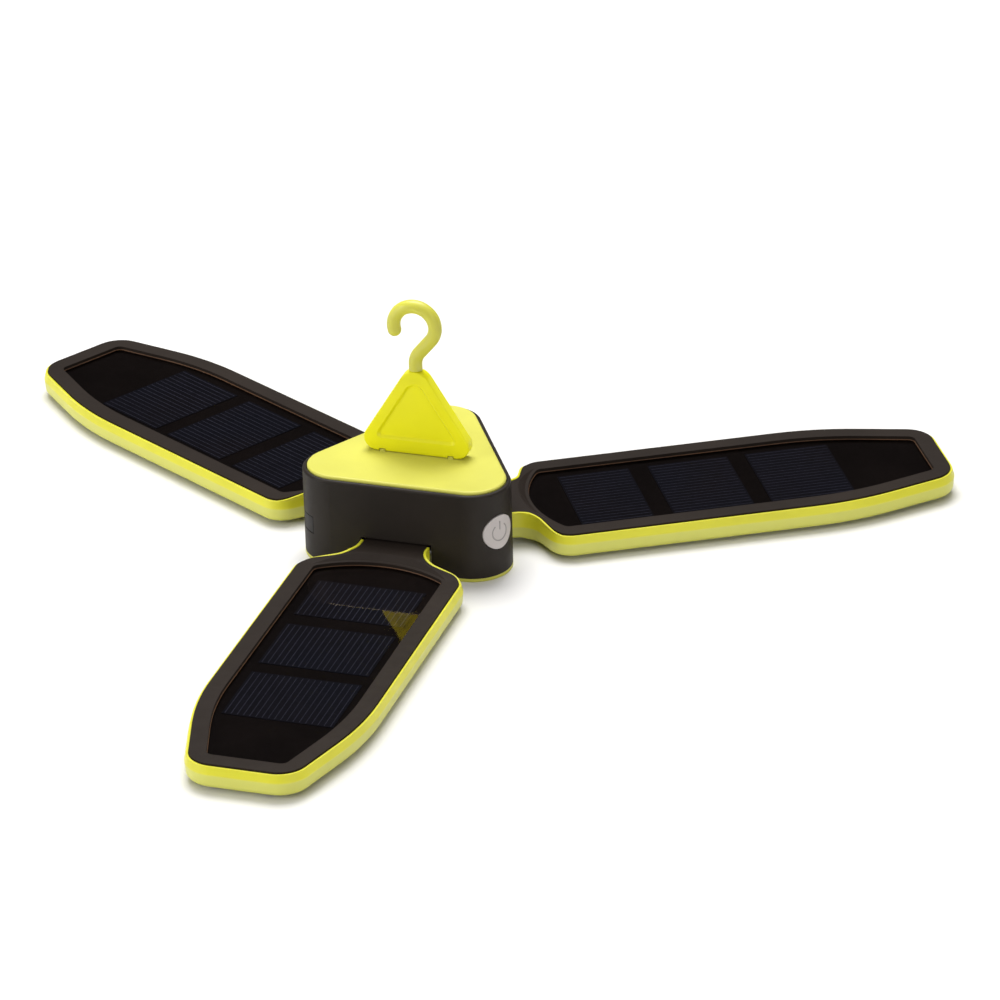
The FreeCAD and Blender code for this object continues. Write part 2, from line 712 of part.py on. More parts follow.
def port_plug():
    strip = corner_sector(PLUG_R[1], PLUG_Z, PLUG_HINGE, PLUG_END)
    strip = strip.cut(corner_cylinder(PLUG_R[0], (0, FAR), PORT_ANGLE))
    thick = PLUG_R[1] - PLUG_R[0]
    knuckle = Part.makeCylinder(thick / 2, PLUG_Z[1] - PLUG_Z[0], plug_hinge_spot(PLUG_Z[0]))
    tongue = port_box(TONGUE_RHO, TONGUE_HALF, TONGUE_Z)
    return joined([strip, knuckle, tongue])


# ---------------------------------------------------------------- hook plate and hook

def plate_outline(inset, foot, corner_r, apex_r):
    """Triangle inside the plate's sides by inset, standing on foot."""
    lean = math.atan(PLATE_SLOPE)
    apex = PLATE_APEX - inset / math.sin(lean)
    half = (apex - foot) * PLATE_SLOPE
    return [(-half, foot, corner_r), (half, foot, corner_r), (0, apex, apex_r)]


def hook_plate():
    half = PLATE_T / 2
    slab = prism(plate_outline(0, PLATE_FOOT, PLATE_CORNER_R, PLATE_APEX_R), -half, half)
    rims = flat_edges(slab, half, lambda c: c.y > PLATE_FOOT + 1)
    rims += flat_edges(slab, -half, lambda c: c.y > PLATE_FOOT + 1)
    slab = upright(slab.makeFillet(PLATE_ROUND, rims))
    floor_side = RECESS_SIDE + RECESS_SLOPE
    floor_foot = RECESS_FOOT + RECESS_SLOPE
    floor = plate_outline(floor_side, floor_foot, FLOOR_BENDS[0], FLOOR_BENDS[1])
    mouth = plate_outline(RECESS_SIDE, RECESS_FOOT, MOUTH_BENDS[0], MOUTH_BENDS[1])
    recess = upright(taper(floor, half - RECESS_DEEP, mouth, half))
    back = half - FOLD_Y
    heel = block((-FAR, FAR), (FOLD_Y, half + 1), (PLATE_FOOT - 1, FOLD_Z))
    heel = heel.cut(rod(back, (-FAR, FOLD_Y, FOLD_Z), (FAR, FOLD_Y, FOLD_Z)))
    holes = [recess, heel]
    for side in (-1, 1):
        span = sorted((side * (LUG_IN - LUG_GAP), side * (LUG_OUT + LUG_GAP)))
        holes.append(rod(LUG_R + LUG_GAP, (span[0], FOLD_Y, FOLD_Z), (span[1], FOLD_Y, FOLD_Z)))
        holes.append(block(span, (FOLD_Y - LUG_R - LUG_GAP, FOLD_Y), (PLATE_FOOT - 1, FOLD_Z)))
        holes.append(block(span, (FOLD_Y, half + 1), (PLATE_FOOT - 1, FOLD_Z + LUG_R + LUG_GAP)))
        holes.append(block(span, (-half - 1, FOLD_Y), (PLATE_FOOT - 1, COVER_TOP + LUG_TOE + LUG_GAP)))
    holes.append(rod(FOLD_PIN_R, (-FOLD_PIN_HALF, FOLD_Y, FOLD_Z), (FOLD_PIN_HALF, FOLD_Y, FOLD_Z)))
    bore_foot = SPIGOT_FOOT - SPIGOT_END_GAP
    holes.append(rod(SPIGOT_R + SPIGOT_RUNNING, (0, 0, bore_foot), (0, 0, PLATE_TOP + 1)))
    slot_x = (-CLIP_SLOT_HALF, CLIP_SLOT_HALF)
    slot_z = (CLIP[0] - CLIP_GAP, CLIP[1] + CLIP_GAP)
    holes.append(block(slot_x, (-CLIP_R - CLIP_GAP, half + 1), slot_z))
    return slab.cut(holes).removeSplitter()


def hook_plate_pin():
    return rod(FOLD_PIN_R, (-FOLD_PIN_HALF, FOLD_Y, FOLD_Z), (FOLD_PIN_HALF, FOLD_Y, FOLD_Z))


def bent_rod(centre, start, axis, angle):
    """Round rod swept from start through angle about an axis through centre."""
    arm = start - centre
    ahead = axis.cross(arm)
    disc = Part.Face(Part.Wire(Part.makeCircle(ROD_R, start, ahead)))
    return disc.revolve(centre, axis, angle)


def hook():
    """Question-mark hook on a vertical spigot that turns in the plate."""
    swing = Vector(0, 1, 0)
    bow_centre = Vector(0, 0, HOOK_Z)
    tip_turn = math.radians(HOOK_TIP_ANGLE)
    tip = bow_centre + Vector(HOOK_R * math.cos(tip_turn), 0, HOOK_R * math.sin(tip_turn))
    end_turn = math.radians(HOOK_END_ANGLE)
    bow_end = bow_centre + Vector(HOOK_R * math.cos(end_turn), 0, HOOK_R * math.sin(end_turn))
    bow = bent_rod(bow_centre, tip, swing, HOOK_TIP_ANGLE - HOOK_END_ANGLE)
    heading = Vector(math.sin(end_turn), 0, -math.cos(end_turn))
    bend_width = BEND_R * (1 - math.cos(end_turn))
    slope_run = (bow_end.x - bend_width) / -heading.x
    bend_start = bow_end + heading * slope_run
    slope = rod(ROD_R, tuple(bow_end), tuple(bend_start))
    bend_centre = Vector(BEND_R, 0, bend_start.z + BEND_R * math.sin(end_turn))
    bend = bent_rod(bend_centre, bend_start, swing * -1, -HOOK_END_ANGLE)
    shank = rod(ROD_R, (0, 0, SHANK_FOOT), (0, 0, bend_centre.z))
    spigot = rod(SPIGOT_R, (0, 0, SPIGOT_FOOT), (0, 0, SHANK_FOOT + 0.5))
    ball = Part.makeSphere(ROD_R, tip)
    return joined([bow, slope, bend, shank, spigot, ball])


def hook_clip():
    """Retaining washer on the spigot, inside the plate."""
    return rod(CLIP_R, (0, 0, CLIP[0]), (0, 0, CLIP[1])).cut(
        rod(SPIGOT_R, (0, 0, CLIP[0] - 1), (0, 0, CLIP[1] + 1)))


HUB_PIECES = {
    "hub_shell": hub_shell,
    "bottom_cover": bottom_cover,
    "top_cover": top_cover,
    "top_gasket": top_gasket,
    "hub_screws": hub_screws,
    "wing_hinge_pins": wing_hinge_pins,
    "hinge_washers": hinge_washers,
    "control_board": control_board,
    "battery_pack": battery_pack,
    "battery_foam": battery_foam,
    "tact_switch": tact_switch,
    "usb_socket": usb_socket,
    "power_button": power_button,
    "port_plug": port_plug,
    "hook_plate": hook_plate,
    "hook_plate_pin": hook_plate_pin,
    "hook": hook,
    "hook_clip": hook_clip,
}

for piece_name, make_piece in WING_PIECES.items():
    piece = make_piece()
    for wing_name, wing_angle in WINGS.items():
        save(turned(piece, wing_angle), wing_name + "_" + piece_name)

for piece_name, make_piece in HUB_PIECES.items():
    save(make_piece(), piece_name)
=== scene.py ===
import json
import math
import bmesh
import bpy
from mathutils import Matrix, Vector


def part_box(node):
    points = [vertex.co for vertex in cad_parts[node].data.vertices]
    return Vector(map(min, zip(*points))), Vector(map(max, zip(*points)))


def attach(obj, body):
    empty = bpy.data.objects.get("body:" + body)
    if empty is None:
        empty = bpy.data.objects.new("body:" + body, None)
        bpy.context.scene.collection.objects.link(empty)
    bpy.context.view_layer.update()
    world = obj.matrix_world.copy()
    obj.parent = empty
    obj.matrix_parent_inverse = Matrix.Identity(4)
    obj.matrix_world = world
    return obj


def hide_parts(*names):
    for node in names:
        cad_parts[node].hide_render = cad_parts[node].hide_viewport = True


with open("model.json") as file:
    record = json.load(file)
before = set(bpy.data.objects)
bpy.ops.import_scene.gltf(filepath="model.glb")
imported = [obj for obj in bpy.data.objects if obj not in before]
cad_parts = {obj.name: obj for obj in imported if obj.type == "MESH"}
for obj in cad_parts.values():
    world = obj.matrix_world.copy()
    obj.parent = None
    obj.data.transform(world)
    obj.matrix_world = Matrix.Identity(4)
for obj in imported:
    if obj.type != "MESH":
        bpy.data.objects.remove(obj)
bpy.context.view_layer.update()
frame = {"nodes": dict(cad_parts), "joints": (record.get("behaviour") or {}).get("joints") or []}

# Looks of the three-wing solar lantern, metres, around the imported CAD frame.

nodes = frame["nodes"]
MM = 0.001
UP = Vector((0, 0, 1))
WINGS = ("front", "right", "left")

# Camera, about the point it looks at.
CAMERA_AZIMUTH = 18.17
CAMERA_ELEVATION = 26.59
CAMERA_ROLL = -1.55
CAMERA_DISTANCE = 1.9272
CAMERA_AIM = Vector((0.0338, -0.0213, 0.0287))
CAMERA_LENS = 221.2
CAMERA_SENSOR = 36
CAMERA_REACH = 20           # how far the camera sees

CEILING = 0.80              # glow of the ceiling over the table
HORIZON = 0.012             # glow of the room at table height
CEILING_FADE = (0.58, 0.82)  # where the glow starts and stops growing, 0 below to 1 overhead
FLOOR_HALF = 3.0
FLOOR_GAP = 1 * MM          # the floor stays this far past a folded wing's tip

# Detail sizes.
CLOSE = 0.01 * MM           # heights this near each other are level
FINGERS = 18                # silver lines on each cell
FINGER_WIDE = 0.24 * MM
FINGER_HIGH = 0.02 * MM
FINGER_SHORT = 0.5 * MM     # each line stops this far inside the cell
WINDOW_THICK = 0.55 * MM
WINDOW_MERGE = 0.001 * MM   # corners this near each other are one corner
HIGHLIGHT_LINE_RADIUS = 0.2 * MM             # radius of the brown line round each panel, a painted highlight
OPENING_CORNERS = 8            # a loop with no more corners than this isn't the opening
WALL_RISE = 0.5 * MM        # the opening's wall stands at least this far above the panel
WALL_DROP = 0.1 * MM        # and starts no further than this below it
RIB_PITCH = 1.6 * MM
RIB_WIDE = 1.0 * MM
RIB_HIGH = 0.16 * MM
RIB_MARGIN = 1.4 * MM
RIB_SIDES = 8
RIB_SUNK = 0.02 * MM        # each rib starts this far inside the lens
TUBE_SIDES = 8
BUTTON_CURVE = 12.8 * MM    # radius of the corner that the button follows
MARK_RADIUS = 2.9 * MM
MARK_LINE = 0.26 * MM
MARK_SUNK = 0.1 * MM
MARK_GAP = 38               # half of the ring's gap, degrees
MARK_BAR = (0.9 * MM, 3.8 * MM)
RING_STEPS = 48
BAR_STEPS = 4
TRACK_PITCH = 1.4 * MM      # size of the blocks on the circuit boards


# ---------------------------------------------------------------- materials

def display(red, green, blue):
    """Linear colour from 0-255 display values."""
    def linear(value):
        value /= 255
        return value / 12.92 if value <= 0.04045 else ((value + 0.055) / 1.055) ** 2.4
    return tuple(linear(value) for value in (red, green, blue)) + (1.0,)


def shaded(colour, gain):
    """The same colour made lighter or darker."""
    return tuple(min(part * gain, 1.0) for part in colour[:3]) + (1.0,)


class Tree:
    """Shorthand for one material's nodes, with patterns sized in metres."""

    def __init__(self, name):
        self.material = bpy.data.materials.new(name)
        self.material.use_nodes = True
        self.nodes = self.material.node_tree.nodes
        self.links = self.material.node_tree.links
        self.nodes.clear()
        self.output = self.nodes.new("ShaderNodeOutputMaterial")
        self.place = self.nodes.new("ShaderNodeTexCoord").outputs["Object"]

    def add(self, kind, inputs=None, **settings):
        node = self.nodes.new("ShaderNode" + kind)
        for key, value in settings.items():
            setattr(node, key, value)
        for key, value in (inputs or {}).items():
            if isinstance(value, bpy.types.NodeSocket):
                self.links.new(value, node.inputs[key])
            else:
                node.inputs[key].default_value = value
        return node

    def noise(self, size, detail=2.0, place=None):
        inputs = {"Vector": place or self.place, "Scale": 1 / size, "Detail": detail}
        return self.add("TexNoise", inputs).outputs["Fac"]

    def spread(self, value, low, high, start=0.3, end=0.7):
        inputs = {"Value": value, "From Min": start, "From Max": end, "To Min": low, "To Max": high}
        return self.add("MapRange", inputs).outputs["Result"]

    def maths(self, operation, first, second):
        return self.add("Math", {0: first, 1: second}, operation=operation).outputs[0]

    def mix(self, share, first, second):
        return self.add("Mix", {0: share, 6: first, 7: second}, data_type="RGBA").outputs[2]

    def stretched(self, scale):
        """Object coordinates scaled by a factor for each axis."""
        inputs = {"Vector": self.place, "Scale": scale}
        return self.add("Mapping", inputs, vector_type="POINT").outputs["Vector"]

    def bump(self, height, depth, normal=None):
        inputs = {"Height": height, "Distance": depth, "Strength": 1.0}
        if normal is not None:
            inputs["Normal"] = normal
        return self.add("Bump", inputs).outputs["Normal"]

    def rounded(self, radius):
        """Normal eased over sharp edges, and a mask that is 1 on those edges."""
        eased = self.add("Bevel", {"Radius": radius}, samples=4).outputs["Normal"]
        true = self.add("NewGeometry").outputs["Normal"]
        inputs = {0: eased, 1: true}
        same = self.add("VectorMath", inputs, operation="DOT_PRODUCT").outputs["Value"]
        return eased, self.spread(same, 1.0, 0.0, 0.80, 0.995)

    def show(self, shader):
        self.links.new(shader.outputs[0], self.output.inputs["Surface"])
        return self.material


def moulded(name, colour, roughness, grain=0.35 * MM, relief=0.008 * MM, mottle=0.05,
            edge=None, edge_share=0.5, edge_radius=0.18 * MM, lower_band_shade=None, **sockets):
    """Moulded plastic or rubber: fine grain, soft patches of tone, lighter edges that are rubbed wear and,
    on the yellow plastics, also a painted highlight.

    lower_band_shade is (low, high, colour): another colour below low that fades out by high, a painted
    shade on the lower band of the sides.
    """
    tree = Tree(name)
    eased, on_edge = tree.rounded(edge_radius)
    patches = tree.noise(22 * MM, 3.0)
    tone = tree.mix(tree.spread(patches, 0, 1), shaded(colour, 1 - mottle), shaded(colour, 1 + mottle))
    # Painted shade: below low the tone turns duller and greener, standing in for the dimmer, floor-lit
    # lower band of the sides.
    if lower_band_shade:
        low, high, lower_shade_colour = lower_band_shade
        level = tree.add("SeparateXYZ", {0: tree.place}).outputs["Z"]
        tone = tree.mix(tree.spread(level, 1, 0, low, high), tone, lower_shade_colour)
    # Lighter edges, broken up by noise: rubbed wear, on the yellow plastics also a painted highlight; the
    # light chips use the edge colour for their white rim.
    wear_and_highlight = tree.maths("MULTIPLY", on_edge, tree.spread(tree.noise(3 * MM), 0, edge_share))
    tone = tree.mix(wear_and_highlight, tone, edge or shaded(colour, 1.35))
    polish = tree.noise(4 * MM, 4.0)
    dull = tree.spread(polish, roughness - 0.06, roughness + 0.06)
    grainy = tree.bump(tree.noise(grain), relief, eased)
    inputs = {"Base Color": tone, "Roughness": dull, "Normal": grainy}
    inputs.update({key.replace("_", " "): value for key, value in sockets.items()})
    return tree.show(tree.add("BsdfPrincipled", inputs))


def metal(name, colour, roughness):
    """Turned or rolled metal with fine lines and a little staining."""
    tree = Tree(name)
    eased, on_edge = tree.rounded(0.08 * MM)
    lines = tree.noise(0.5 * MM, 3.0, tree.stretched((1, 1, 14)))
    stain = tree.noise(3 * MM, 3.0)
    tone = tree.mix(tree.spread(stain, 0, 1), shaded(colour, 0.82), colour)
    tone = tree.mix(tree.maths("MULTIPLY", on_edge, 0.6), tone, shaded(colour, 1.3))
    inputs = {
        "Base Color": tone,
        "Metallic": 1.0,
        "Roughness": tree.spread(lines, roughness - 0.07, roughness + 0.07),
        "Normal": tree.bump(lines, 0.004 * MM, eased),
    }
    return tree.show(tree.add("BsdfPrincipled", inputs))


def circuit(name, mask_colour, track_colour):
    """Solder mask over blocky tracks, with small round pads."""
    tree = Tree(name)
    inputs = {"Vector": tree.place, "Scale": 1 / TRACK_PITCH, "Randomness": 0.75}
    cells = tree.add("TexVoronoi", inputs, distance="CHEBYCHEV", feature="DISTANCE_TO_EDGE")
    tracks = tree.spread(cells.outputs["Distance"], 1, 0, 0.05, 0.09)
    inputs = {"Vector": tree.place, "Scale": 0.4 / TRACK_PITCH, "Randomness": 1.0}
    spots = tree.add("TexVoronoi", inputs).outputs["Distance"]
    pads = tree.spread(spots, 1, 0, 0.14, 0.17)
    tone = tree.mix(tree.maths("MULTIPLY", tracks, 0.5), mask_colour, track_colour)
    tone = tree.mix(pads, tone, display(190, 190, 186))
    inputs = {
        "Base Color": tone,
        "Roughness": tree.spread(tree.noise(2 * MM), 0.25, 0.4),
        "Normal": tree.bump(tracks, 0.03 * MM),
    }
    return tree.show(tree.add("BsdfPrincipled", inputs))


def silicon(name):
    """Dark blue cell with a faint crystal patchwork and slow changes of tint."""
    tree = Tree(name)
    inputs = {"Vector": tree.place, "Scale": 1 / (2.6 * MM), "Randomness": 1.0}
    crystal = tree.add("TexVoronoi", inputs).outputs["Color"]
    tint = tree.spread(tree.noise(30 * MM, 1.0), 0, 1)
    tone = tree.mix(tint, display(21, 19, 22), display(18, 20, 27))
    facets = tree.add("SeparateColor", {"Color": crystal}).outputs[0]
    tone = tree.mix(tree.spread(facets, 0, 0.35, 0, 1), tone, display(27, 26, 34))
    inputs = {
        "Base Color": tone,
        "Roughness": tree.spread(tree.noise(1 * MM), 0.35, 0.5),
        "Normal": tree.bump(facets, 0.004 * MM),
        "Specular IOR Level": 0.03,
    }
    return tree.show(tree.add("BsdfPrincipled", inputs))


def clear_plastic(name):
    """Clear sheet: light passes, and the warm-coated outer side mirrors more towards grazing."""
    tree = Tree(name)
    wave = tree.bump(tree.noise(9 * MM, 1.0), 0.006 * MM)
    haze = tree.spread(tree.noise(5 * MM, 4.0), 0.015, 0.06)
    mirror = tree.add("Fresnel", {"IOR": 1.46, "Normal": wave}).outputs["Fac"]
    outside = tree.maths("SUBTRACT", 1.0, tree.add("NewGeometry").outputs["Backfacing"])
    share = tree.maths("MULTIPLY", mirror, outside)
    through = tree.add("BsdfTransparent", {"Color": (0.86, 0.86, 0.88, 1)})
    inputs = {"Color": (1.0, 0.80, 0.71, 1), "Roughness": haze, "Normal": wave}
    gloss = tree.add("BsdfAnisotropic", inputs, distribution="GGX")
    inputs = {0: share, 1: through.outputs[0], 2: gloss.outputs[0]}
    return tree.show(tree.add("MixShader", inputs))


def frosted(name):
    """Milky diffuser over the light chips."""
    tree = Tree(name)
    eased, _ = tree.rounded(0.2 * MM)
    cloud = tree.noise(7 * MM, 3.0)
    tone = tree.mix(tree.spread(cloud, 0, 1), display(226, 226, 216), display(240, 240, 234))
    inputs = {
        "Base Color": tone,
        "Roughness": tree.spread(tree.noise(1.5 * MM), 0.38, 0.5),
        "Normal": tree.bump(tree.noise(0.3 * MM), 0.01 * MM, eased),
        "Alpha": 0.72,
    }
    return tree.show(tree.add("BsdfPrincipled", inputs))


def foil(name):
    """Wrinkled silver laminate of the battery pouch."""
    tree = Tree(name)
    creases = tree.noise(4 * MM, 5.0)
    inputs = {
        # Lighter on the crease ridges and darker in their hollows, from the same noise as the bump: painted
        # highlight and painted shade.
        "Base Color": tree.mix(tree.spread(creases, 0, 1), display(150, 152, 155), display(196, 198, 200)),
        "Metallic": 0.9,
        "Roughness": tree.spread(creases, 0.25, 0.42),
        "Normal": tree.bump(creases, 0.12 * MM),
    }
    return tree.show(tree.add("BsdfPrincipled", inputs))


def sponge(name, colour):
    """Open foam with round pores."""
    tree = Tree(name)
    inputs = {"Vector": tree.place, "Scale": 1 / (0.7 * MM), "Randomness": 1.0}
    pores = tree.add("TexVoronoi", inputs).outputs["Distance"]
    open_pore = tree.spread(pores, 0, 1, 0.15, 0.5)
    inputs = {
        # Pores painted darker than the foam round them: painted shade in the hollows.
        "Base Color": tree.mix(open_pore, shaded(colour, 0.4), colour),
        "Roughness": tree.spread(open_pore, 0.95, 0.85, 0, 1),
        "Normal": tree.bump(open_pore, 0.15 * MM),
    }
    return tree.show(tree.add("BsdfPrincipled", inputs))


YELLOW_GLOW = {
    "Subsurface_Weight": 0.12,
    "Subsurface_Radius": (1.0, 0.95, 0.1),
    "Subsurface_Scale": 2.0 * MM,
}

finishes = {
    # Wing shell: below 5.6 mm the sides fade to a duller green-yellow, painted shade on their lower band.
    "shell_yellow": moulded(
        "wing_shell_plastic", (0.76, 0.725, 0.030, 1), 0.40, edge=(0.88, 0.87, 0.40, 1),
        lower_band_shade=(5.6 * MM, 6.3 * MM, (0.66, 0.66, 0.125, 1)), Specular_IOR_Level=0.5, **YELLOW_GLOW),
    # Top cover painted a darker, paler yellow and hook plate a lighter, deeper yellow than the shell, to
    # offset the stronger light on the top and the weaker light on the front: painted shade on the cover,
    # painted light on the plate.
    "cover_yellow": moulded(
        "top_cover_plastic", (0.64, 0.62, 0.100, 1), 0.46, edge=(0.80, 0.78, 0.40, 1),
        Specular_IOR_Level=0.4),
    "plate_yellow": moulded(
        "hook_plate_plastic", (0.90, 0.86, 0.004, 1), 0.42, edge=(0.94, 0.93, 0.22, 1),
        Specular_IOR_Level=0.45, **YELLOW_GLOW),
    "hook_yellow": moulded(
        "hook_plastic", (0.66, 0.64, 0.080, 1), 0.38, edge=(0.72, 0.70, 0.20, 1),
        Specular_IOR_Level=0.5, Subsurface_Weight=0.3, Subsurface_Radius=(1.0, 0.95, 0.12),
        Subsurface_Scale=3.0 * MM),
    "body_charcoal": moulded(
        "hub_plastic", (0.0225, 0.0178, 0.0140, 1), 0.52, grain=0.28 * MM, mottle=0.12,
        edge=(0.036, 0.030, 0.024, 1), Specular_IOR_Level=0.18),
    "bezel_charcoal": moulded(
        "bezel_plastic", (0.0225, 0.0165, 0.0130, 1), 0.60, grain=0.28 * MM, mottle=0.12,
        edge=(0.044, 0.032, 0.022, 1), Specular_IOR_Level=0.10),
    "seal_rubber": moulded("seal_rubber", (0.012, 0.012, 0.012, 1), 0.75, mottle=0.2),
    "plug_rubber": moulded(
        "plug_rubber", (0.0100, 0.0080, 0.0070, 1), 0.58, mottle=0.15, Specular_IOR_Level=0.3),
    "switch_black": moulded("switch_plastic", (0.015, 0.015, 0.016, 1), 0.4),
    "button_grey": moulded(
        "button_rubber", (0.56, 0.515, 0.50, 1), 0.5, mottle=0.04, edge=(0.68, 0.65, 0.64, 1),
        Specular_IOR_Level=0.3),
    "led_phosphor": moulded(
        "light_chip", (0.86, 0.66, 0.12, 1), 0.4, grain=0.1 * MM, edge=(0.9, 0.9, 0.86, 1),
        edge_radius=0.35 * MM, edge_share=1.0),
    "steel": metal("screw_steel", (0.56, 0.56, 0.57, 1), 0.32),
    "socket_steel": metal("socket_steel", (0.66, 0.65, 0.62, 1), 0.28),
    "circuit_board": circuit("hub_board", (0.012, 0.10, 0.035, 1), (0.03, 0.20, 0.07, 1)),
    "panel_board": moulded(
        "panel_backing", (0.0062, 0.0042, 0.0034, 1), 0.6, mottle=0.25, Specular_IOR_Level=0.02),
    "cell_silicon": silicon("solar_silicon"),
    "panel_clear": clear_plastic("panel_clear_sheet"),
    "lens_frosted": frosted("light_diffuser"),
    "battery_foil": foil("battery_pouch"),
    "foam": sponge("battery_foam", (0.08, 0.08, 0.085, 1)),
}
light_board = circuit("light_board", (0.82, 0.82, 0.80, 1), (0.72, 0.72, 0.70, 1))
silver_ink = moulded(
    "cell_silver", (0.046, 0.046, 0.062, 1), 0.45, grain=0.12 * MM, mottle=0.2, Specular_IOR_Level=0.06)
# Brown of the line round each panel opening: a painted highlight, standing in for the light caught along
# the panel's edge.
edge_highlight_paint = moulded("panel_edge_highlight", (0.115, 0.058, 0.028, 1), 0.5, mottle=0.3, Specular_IOR_Level=0.3)
button_mark = moulded("button_mark", (0.34, 0.315, 0.305, 1), 0.45, grain=0.15 * MM)


def dress(node, material):
    """Gives every slot of a CAD node this material, without touching its mesh."""
    for slot in node.material_slots:
        slot.link = "OBJECT"
        slot.material = material


for node in nodes.values():
    dress(node, finishes[node.material_slots[0].material.name.split(".")[0]])
for wing in WINGS:
    dress(nodes[wing + "_led_board"], light_board)


# ---------------------------------------------------------------- pieces

def piece(name, bm, material, body, smooth=True):
    """Object from a finished bmesh, dressed and riding on its body."""
    bmesh.ops.recalc_face_normals(bm, faces=bm.faces)
    mesh = bpy.data.meshes.new(name)
    bm.to_mesh(mesh)
    bm.free()
    mesh.materials.append(material)
    for face in mesh.polygons:
        face.use_smooth = smooth
    made = bpy.data.objects.new(name, mesh)
    bpy.context.scene.collection.objects.link(made)
    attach(made, body)
    return made


def slab(bm, low, high):
    """Box between two corners."""
    size = Vector(high) - Vector(low)
    middle = (Vector(high) + Vector(low)) / 2
    place = Matrix.Translation(middle) @ Matrix.Diagonal((*size, 1))
    bmesh.ops.create_cube(bm, size=1, matrix=place)


def wing_frame(wing):
    """Matrix from wing axes (along, across, up) to the row frame, from the wing's hinge."""
    joint = next(j for j in frame["joints"] if j["name"] == wing + "_wing_fold")
    across = Vector(joint["axis"]).normalized()
    along = across.cross(UP)
    return Matrix((along, across, UP)).transposed().to_4x4()


def in_wing(wing, node):
    """A CAD node's vertices in its wing's axes."""
    back = wing_frame(wing).inverted()
    return [back @ vertex.co for vertex in nodes[node].data.vertices]


def cell_lines(wing):
    """Fine silver lines along the wing on each solar cell."""
    name = wing + "_solar_cells"
    points = in_wing(wing, name)
    ends = sorted({round(point.x, 5) for point in points})
    half = max(point.y for point in points)
    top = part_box(name)[1].z
    pitch = 2 * half / FINGERS
    bm = bmesh.new()
    for start, end in zip(ends[0::2], ends[1::2]):
        for line in range(FINGERS):
            side = -half + (line + 0.5) * pitch
            low = (start + FINGER_SHORT, side - FINGER_WIDE / 2, top)
            high = (end - FINGER_SHORT, side + FINGER_WIDE / 2, top + FINGER_HIGH)
            slab(bm, low, high)
    bmesh.ops.transform(bm, matrix=wing_frame(wing), verts=bm.verts)
    return piece(wing + "_cell_lines", bm, silver_ink, "wing_" + wing, smooth=False)


def clear_window(wing):
    """The panel's clear sheet: the CAD cover's top face, thickened to end just above the cells."""
    name = wing + "_panel_cover"
    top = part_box(name)[1].z
    bm = bmesh.new()
    bm.from_mesh(nodes[name].data)
    bmesh.ops.remove_doubles(bm, verts=bm.verts, dist=WINDOW_MERGE)
    others = [face for face in bm.faces if face.calc_center_median().z < top - CLOSE]
    bmesh.ops.delete(bm, geom=others, context="FACES")
    bmesh.ops.dissolve_limit(bm, angle_limit=math.radians(1), verts=bm.verts, edges=bm.edges)
    grown = bmesh.ops.extrude_face_region(bm, geom=bm.faces[:], use_keep_orig=True)
    moved = [part for part in grown["geom"] if isinstance(part, bmesh.types.BMVert)]
    bmesh.ops.translate(bm, vec=-UP * WINDOW_THICK, verts=moved)
    made = piece(
        wing + "_clear_window", bm, finishes["panel_clear"], "wing_" + wing, smooth=False)
    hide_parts(name)
    return made


def closed_loops(pairs):
    """Closed chains of points from unordered edges, each a pair of rounded points."""
    beside = {}
    for first, second in pairs:
        beside.setdefault(first, set()).add(second)
        beside.setdefault(second, set()).add(first)
    loops = []
    while beside:
        loop = [min(beside)]
        while True:
            onward = sorted(beside.pop(loop[-1], ()))
            onward = [point for point in onward if point in beside and point not in loop]
            if not onward:
                break
            loop.append(onward[0])
        loops.append(loop)
    return [loop for loop in loops if len(loop) > OPENING_CORNERS]


def panel_highlight_line(wing):
    """Thin brown line where the wall of the bezel's opening meets the panel: a painted highlight for the
    light caught along the panel's edge.
    """
    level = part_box(wing + "_panel_cover")[1].z
    mesh = nodes[wing + "_wing_bezel"].data
    pairs = []
    for face in mesh.polygons:
        corners = [mesh.vertices[index].co for index in face.vertices]
        heights = [corner.z - level for corner in corners]
        upright = abs(face.normal.z) < 0.1 and max(heights) > WALL_RISE
        if not upright or min(heights) < -WALL_DROP:
            continue
        low = [corner for corner in corners if abs(corner.z - level) < 2 * CLOSE]
        if len(low) == 2:
            pairs.append([tuple(round(value, 6) for value in corner) for corner in low])
    runs = closed_loops(pairs)
    return tube(wing + "_panel_highlight_line", runs, HIGHLIGHT_LINE_RADIUS, edge_highlight_paint, "wing_" + wing, closed=True)


def lens_ribs(wing):
    """Half-round ribs across the outside of the light window."""
    name = wing + "_led_lens"
    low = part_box(name)[0].z
    back = wing_frame(wing).inverted()
    mesh = nodes[name].data
    flat = [[back @ mesh.vertices[index].co for index in face.vertices]
            for face in mesh.polygons if face.center.z < low + CLOSE]
    edges = [(face[index - 1], face[index]) for face in flat for index in range(len(face))]
    ends = [point.x for face in flat for point in face]
    count = int((max(ends) - min(ends) - 2 * RIB_MARGIN) / RIB_PITCH)
    first = (max(ends) + min(ends) - (count - 1) * RIB_PITCH) / 2
    bm = bmesh.new()
    for rib in range(count):
        middle = first + rib * RIB_PITCH
        crossed = [a.y + (b.y - a.y) * (middle - a.x) / (b.x - a.x)
                   for a, b in edges if (a.x - middle) * (b.x - middle) < 0]
        reach = max(crossed) - RIB_MARGIN
        ring = []
        for step in range(RIB_SIDES + 1):
            turn = math.pi * step / RIB_SIDES
            aside = middle + RIB_WIDE / 2 * math.cos(turn)
            drop = low + RIB_SUNK - (RIB_HIGH + RIB_SUNK) * math.sin(turn)
            squeeze = RIB_WIDE / 2 * (1 - math.sin(turn))
            ring.append([bm.verts.new((aside, side * (reach + squeeze), drop)) for side in (-1, 1)])
        for here, after in zip(ring, ring[1:] + ring[:1]):
            bm.faces.new((here[0], here[1], after[1], after[0]))
        for side in (0, 1):
            bm.faces.new([pair[side] for pair in ring])
    bmesh.ops.transform(bm, matrix=wing_frame(wing), verts=bm.verts)
    return piece(wing + "_lens_ribs", bm, finishes["lens_frosted"], "wing_" + wing)


